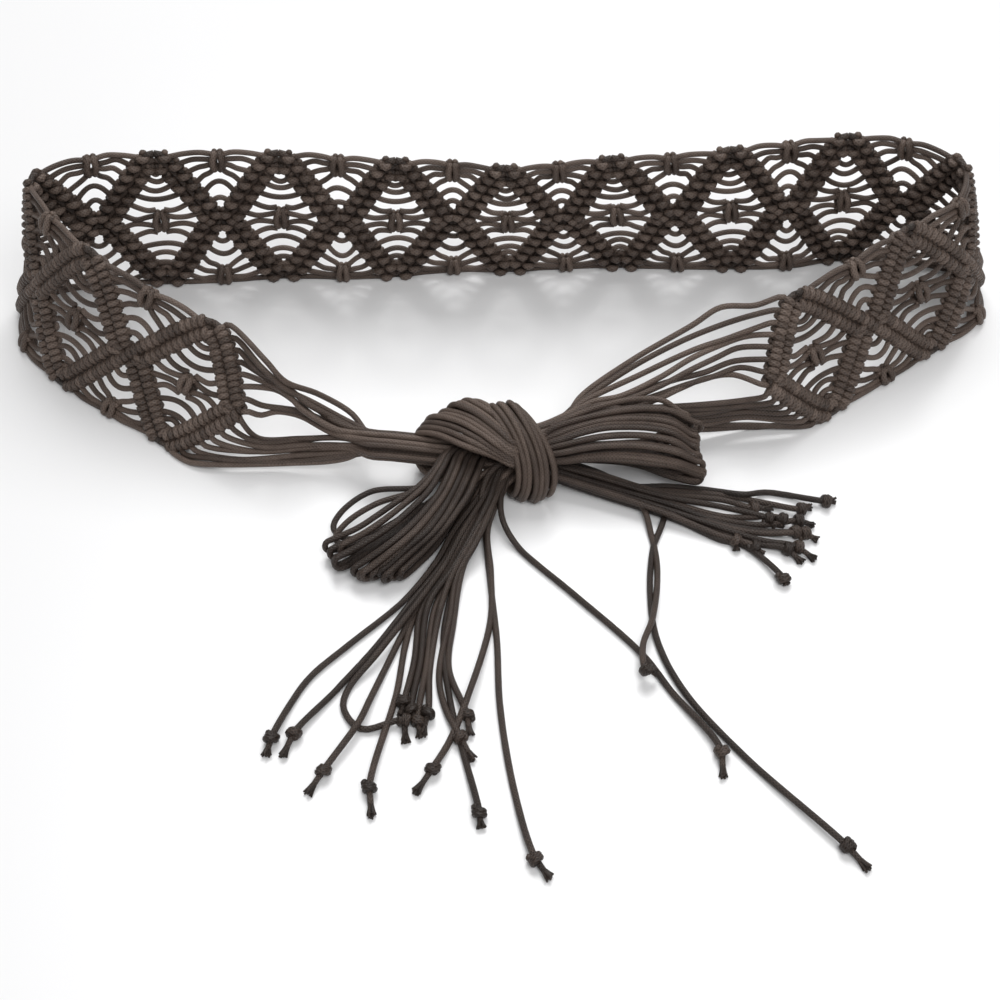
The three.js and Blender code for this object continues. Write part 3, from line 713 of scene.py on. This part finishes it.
def frayed_tip(cords, start, tip, rng):
    """The short end past the knot: a stub of cord with its cut threads flared out like a brush."""
    reach = tip - start
    cords.add(np.linspace(start, start + reach * 0.7, 5), [1.0, 1.0, 0.95, 0.95, 0.9])
    side, other = square_to(start, tip)
    for i in range(THREADS):
        # Steps of 2.4 radians spread the threads evenly over the cord's end, like a sunflower's seeds
        out = math.sqrt((i + 0.5) / THREADS)
        turn = i * 2.4 + rng.uniform(-0.3, 0.3)
        spread = out * (math.cos(turn) * side + math.sin(turn) * other)
        base = start + reach * 0.6 + spread * 0.7
        end = start + reach * rng.uniform(0.9, 1.06) + spread * rng.uniform(1.3, 1.75)
        line = curve([base, (base + end) / 2 - spread * 0.15, end], 5)
        cords.add(line, THREAD_RADII, sides=5)


def make_tails(material, rng):
    """The loose ends of the cords, each a piece of its own."""
    tails = [("left_tails", route, tip) for route, tip in zip(LEFT_TAILS, LEFT_TIPS)]
    tails += [("right_tails", route, tip) for route, tip in zip(RIGHT_TAILS, RIGHT_TIPS)]
    for number, (node, route, tip) in enumerate(tails, 1):
        line = tail_line(route, tip)
        # The tails get painted shade, so that they look less lit than the net
        cords = Cords(f"tail_{number:02d}", rng, TAIL_PAINTED_SHADE)
        knot = int(np.argmin(np.linalg.norm(line[:, :2] - route[-1][:2], axis=1)))
        body = evenly(line[:knot + 1], 64)
        cords.add(body, CORD / 2 * (1 + rng.normal(0, 0.012, len(body))), FINE_SIDES)
        end_knot(cords, line[knot], unit(line[knot] - line[knot - 1]), rng)
        frayed_tip(cords, line[knot], line[-1], rng)
        piece = finished(cords, node, material)


# The net


def row_line(offset):
    """One row's middle in a quarter of the pattern, from the crossing's level to the corner."""
    u = np.linspace(0, PITCH / 2, 300)
    to_corner = PITCH / 2 - u
    fall = np.sqrt((RIDGE_SLOPE * to_corner) ** 2 + CORNER_ROUNDING)
    slope = RIDGE_SLOPE ** 2 * to_corner / fall
    square = unit(np.column_stack([-slope, np.ones_like(u)]))
    line = np.column_stack([u, RIDGE_PEAK - fall]) + offset * square
    return line[line[:, 1] >= 0]


def along_row(line, distance):
    """The place at a distance along a row, and the row's direction there."""
    walked = lengths(line)
    behind, place, ahead = (
        np.array([np.interp(at, walked, values) for values in line.T])
        for at in (distance - 0.3, distance, distance + 0.3)
    )
    return place, unit(ahead - behind)


ROWS = {"outer": row_line(ROW_OFFSET), "inner": row_line(-ROW_OFFSET)}
SEAM = row_line(0)


def on_top(crossing, side, rise):
    """Whether this arm of a crossing lies over the other one, which changes halfway along the belt."""
    falling = side * rise < 0
    return falling if crossing <= DIAMONDS // 2 else not falling


def add_arm(cords, crossing, side, rise, rng):
    """The two rows of hitches from a crossing to a corner, and the cords inside them in painted shade.

    side is the way along u, and rise the way along v. A hitch shows as two turns of cord on the outer
    face, and as one short bar on the inner face.
    """
    turn = np.array([side, rise])
    origin = np.array([crossing * PITCH, 0])
    steps = 16
    # The seam and the leaders lie deep inside the rows, and are given painted shade
    seam = origin + turn * evenly(SEAM, steps)
    cords.add(bent(np.column_stack([seam, np.zeros(steps)])), 1.25, sides=6, dark=1.0)
    for name, line in ROWS.items():
        leader = origin + turn * evenly(line, steps)
        cords.add(bent(np.column_stack([leader, np.full(steps, -0.2)])), 1.3, sides=6, dark=1.0)
        # An arm that lies under the other one lacks its first turn, and the next one is sunk
        under = name == "outer" and not on_top(crossing, side, rise)
        first = 1 if under else 0
        for i in range(first, COILS[name]):
            distance = (i + 0.5) * COIL_PITCH + rng.normal(0, 0.06)
            place, ahead = along_row(line, distance)
            across = np.array([-ahead[1], ahead[0]])
            reach = 1 + rng.normal(0, 0.03)
            sink = 0.5 if under and i == first else 0.0
            flat = [
                [*(origin + turn * (place + across * a * reach + ahead * a * SLANT)), w + sink]
                for a, w in COIL_SHAPE
            ]
            cords.add(bent(flat), COIL_RADIUS * (1 + rng.normal(0, 0.025)))
        stagger = 0.6 if name == "outer" else -0.6
        for i in range(0, COILS[name], 2):
            place, ahead = along_row(line, (i + 1) * COIL_PITCH)
            middle = origin + turn * (place + ahead * stagger)
            flat = [[middle[0] + a * (1 + rng.normal(0, 0.05)), middle[1], w] for a, w in BACK_SHAPE]
            cords.add(bent(flat), BACK_RADII)


def add_crossing_turns(cords, crossing, side, rng):
    """The turns beside a crossing, where the inner rows' leaders meet."""
    middle = crossing * PITCH + side * CROSSING_TURN
    for v in (-0.9, 0.9):
        flat = [(middle + a * 1.1, v + rng.normal(0, 0.1), w) for a, w in COIL_SHAPE]
        cords.add(bent(flat), COIL_RADIUS * 0.92)
    flat = [(middle + a * 0.9, 0, w) for a, w in BACK_SHAPE]
    cords.add(bent(flat), BACK_RADII)


def add_crosswise(cords, middle, rise, rows, rng):
    """Cords that run from one ridge to the next and bow up or down between them."""
    into_ridge = 1.3
    for row in rows:
        middle_v = row["middle_v"] + rng.normal(0, 0.5)
        end = row["end"] + into_ridge
        u = np.linspace(-end, end, 13)
        bow = (row["end_v"] - middle_v) * (np.abs(u) / row["end"]) ** 2
        wave = rng.normal(0, 0.12) * np.sin(u / end * math.pi)
        w = np.full_like(u, rng.normal(0, 0.15))
        cords.add(bent(np.column_stack([middle + u, rise * (middle_v + bow + wave), w])))


def add_to_knot(cords, middle, rise, routes, rng):
    """Cords that run from the ridges on both sides into a square knot."""
    for side in (-1, 1):
        for number, route in enumerate(routes):
            points = np.array(route)
            # A start inside the ridge, the less deep the further out the cord is
            start = points[0] + (0.45 - 0.07 * number) * (points[0] - points[1])
            points[1] += rng.normal(0, 0.3, 2)
            flat = curve([(u, v, rng.normal(0, 0.1)) for u, v in (start, *points)], 12)
            flat[:, 0] = middle + side * flat[:, 0]
            flat[:, 1] *= rise
            cords.add(bent(flat))


def add_square_knot(cords, u, v, rng):
    """Two bowed bars with a turn under their top and bottom, on both faces."""
    for face in (-1, 1):
        for side in (-1, 1):
            bar = np.array(KNOT_BAR)
            bar[2, 0] += rng.normal(0, 0.12)
            flat = curve([(u + side * a, v + b * KNOT_HALF_HEIGHT, face * w) for a, b, w in bar], 9)
            cords.add(bent(flat), KNOT_BAR_RADII)
        for end in (-1, 1):
            tilt = rng.normal(0, 0.15)
            middle_v = v + end * KNOT_HALF_HEIGHT * 0.7
            flat = [(u + a, middle_v + a * tilt, face * w) for a, w in KNOT_TURN]
            cords.add(bent(flat), 1.08)


def make_net(material, rng):
    """The thirteen diamonds, as three pieces. A diamond comes with the notches before it."""
    parts = {"net_left": range(0, 4), "net_back": range(4, 9), "net_right": range(9, DIAMONDS)}
    for name, diamonds in parts.items():
        cords = Cords(name, rng)
        for diamond in diamonds:
            middle = (diamond + 0.5) * PITCH
            # The upper half brings the turns at the first crossing, the lower half the others
            for rise, crossing, side in ((1, diamond, 1), (-1, diamond + 1, -1)):
                add_arm(cords, diamond, 1, rise, rng)
                add_arm(cords, diamond + 1, -1, rise, rng)
                add_crossing_turns(cords, crossing, side, rng)
                add_crosswise(cords, middle, rise, DIAMOND_CORDS, rng)
                add_to_knot(cords, middle, rise, DIAMOND_KNOT_CORDS, rng)
            add_square_knot(cords, middle, 0, rng)
            if diamond == 0:
                continue
            for rise in (1, -1):
                add_crosswise(cords, diamond * PITCH, rise, EDGE_CORDS, rng)
                add_to_knot(cords, diamond * PITCH, rise, EDGE_KNOT_CORDS, rng)
                add_square_knot(cords, diamond * PITCH, rise * EDGE_KNOT_V, rng)
        finished(cords, "net_band", material)


# The belt's ends


def bundle_lane(bundle, angle, fill, count):
    """One cord's line in a bundle: an angle round it and how far out it lies, 0 to 1."""
    line = curve(bundle["path"], count)
    forward = unit(np.gradient(line, axis=0))
    side = unit(np.cross(forward, [0, 0, 1]))
    up = np.cross(side, forward)
    width = (bundle["half_width"] - CORD / 2) * fill * math.cos(angle)
    height = (bundle["half_thickness"] - CORD / 2) * fill * math.sin(angle)
    return line + side * width + up * height


def make_end(name, node, end, bundle, routes, material, rng):
    """The cords that leave the last ridges and gather into a bundle on the way to the knot.

    end is where the net ends along u.
    """
    cords = Cords(name, rng)
    along = 1 if end == 0 else -1
    for number, route in enumerate(routes):
        rise = 1 if number < CORDS_PER_RIDGE else -1
        k = number % CORDS_PER_RIDGE

        # It leaves square to its ridge
        place, ahead = along_row(ROWS["outer"], FIRST_CORD + k * CORD_SPACING)
        across = np.array([-ahead[1], ahead[0]])
        flat = [place + across * out for out in (0.3, 3.2)]
        leaving = bent([[end + along * u, rise * v, 0] for u, v in flat])

        # The upper ridge's cords take the bundle's top and back, the lower ridge's its front and
        # underside, and every second one lies further inside
        share = k / (CORDS_PER_RIDGE - 1)
        spread = 70 + 120 * share if rise > 0 else 50 - 170 * share
        angle = math.radians(spread if along > 0 else 180 - spread)
        lane = bundle_lane(bundle, angle, 1.0 if k % 2 == 0 else 0.5, 8)

        # The bundle begins at least 3 mm nearer to the knot than the route's last point
        lane = lane[np.abs(lane[:, 0]) < abs(route[-1][0]) - 3]
        stray = rng.normal(0, 0.35, (len(route), 3))
        cords.add(curve([*leaving, *(np.array(route) + stray), *lane], 56))
    finished(cords, node, material)


# The bow


def make_knot(material, rng):
    """The turns round the belt's ends, the lobe of cords that crosses them, and the cords inside."""
    cords = Cords("knot_cords", rng)
    add_wrap(cords, rng)
    lobe = np.array([curve(line, 44) for line in LOBE["lines"]])
    for i in range(LOBE["cords"]):
        line = between(lobe, (i + rng.uniform(-0.15, 0.15)) / (LOBE["cords"] - 1))
        cords.add(line + (0, 0, rng.normal(0, 0.3)), CORD / 2, FINE_SIDES)
        # A second layer under the first, so that nothing shows through between its cords
        cords.add(line + (0.9, 1.6, -2.1), CORD / 2 * 1.15)
    for route in CORE_CORDS:
        cords.add(curve(route, 30))
    finished(cords, "bow_knot", material)


def add_wrap(cords, rng):
    """The turns round the belt's ends, side by side from left to right."""
    turns = WRAP["turns"]
    lean = math.radians(WRAP["lean"])
    top, front, under, back = (WRAP_ACROSS[side] for side in ("top", "front", "under", "back"))
    # The angle starts at the back and goes over the top, the front and the underside
    angle = np.linspace(0, 2 * math.pi, 65)
    first = (top + front + under + back) / 4 + (back - front) / 2 * np.cos(angle)
    first += (top - under) / 2 * np.sin(angle)
    first += (back + front - top - under) / 4 * np.cos(2 * angle)
    for i in range(turns):
        share = i / (turns - 1)
        # The turns near both sides are smaller, those on the right the most
        size = 1 - 0.24 * max(2 * share - 1, 0) ** 2.5 - 0.07 * max(1 - 2 * share, 0) ** 2
        uneven = rng.normal(0, 0.35) * np.sin(angle * 2 + rng.uniform(0, 6))
        depth = (WRAP["half_depth"] * size - CORD / 2 + uneven) * np.cos(angle)
        height = (WRAP["half_height"] * size - CORD / 2 + uneven) * np.sin(angle)
        waver = rng.normal(0, 0.6) * np.sin(angle + rng.uniform(0, 6))
        # Each turn also runs a little to the right as it goes round
        x = first + share * WRAP_SPREAD + waver + angle * 0.2
        y = WRAP["y"] + depth * math.cos(lean) + height * math.sin(lean)
        z = WRAP["z"] - depth * math.sin(lean) + height * math.cos(lean)
        cords.add(np.column_stack([x, y, z]), CORD / 2, FINE_SIDES)


def make_loop(name, node, loop, strays, material, rng):
    """Cords side by side that leave the knot, turn back at the loop's end and return underneath."""
    # Painted shade makes this loop's cords darker
    cords = Cords(name, rng, loop["dark"])
    steps = 30
    top = np.array([curve(line, steps) for line in loop["top"]])
    under = np.array([curve(line, 8) for line in loop["under"]])
    up = np.array([0, 0, 1])
    for i in range(loop["cords"]):
        share = np.clip((i + 0.5 + rng.normal(0, 0.25)) / loop["cords"], 0.02, 0.98)
        # Every second cord lies a little higher than the ones beside it
        over = between(top, share) + up * (rng.normal(0, 0.5) + 0.6 * (-1) ** i)
        ahead = unit((over[-1] - over[-8]) * (1, 1, 0))
        # Each cord ends a little before or past the drawn lines, which fades out towards the knot
        further = rng.normal(-1.6, loop["unevenness"])
        over = over + np.linspace(0, 1, steps)[:, None] ** 4 * ahead * further
        back = between(under, share + rng.normal(0.05, 0.12))
        # It turns back in a bend as wide as the two parts are apart, but about two cords at most
        radius = np.clip(over[-1, 2] - back[0, 2], 3.2, 4.2) / 2
        aside = np.cross(ahead, up) * rng.normal(0, loop["sideways"])
        turn = [over[-1] + radius * (out * ahead + down * (aside - up)) for out, down in TURN_BACK]
        cords.add(curve([*over[:-4:4], *turn, *back[1:]], 150), CORD / 2, FINE_SIDES)
    for route in strays:
        cords.add(curve(route, 110), CORD / 2, FINE_SIDES)
    finished(cords, node, material)


def main():
    set_camera()
    set_stage()
    material = waxed_cotton()
    rng = np.random.default_rng(RANDOM_SEED)
    make_tails(material, rng)
    make_net(material, rng)
    make_end("left_end", "left_end_cords", 0, LEFT_END, LEFT_END_CORDS, material, rng)
    make_end("right_end", "right_end_cords", NET_LENGTH, RIGHT_END, RIGHT_END_CORDS, material, rng)
    make_knot(material, rng)
    make_loop("left_loop_cords", "left_loop", LEFT_LOOP, LEFT_STRAYS, material, rng)
    make_loop("right_loop_cords", "right_loop", RIGHT_LOOP, [], material, rng)


main()
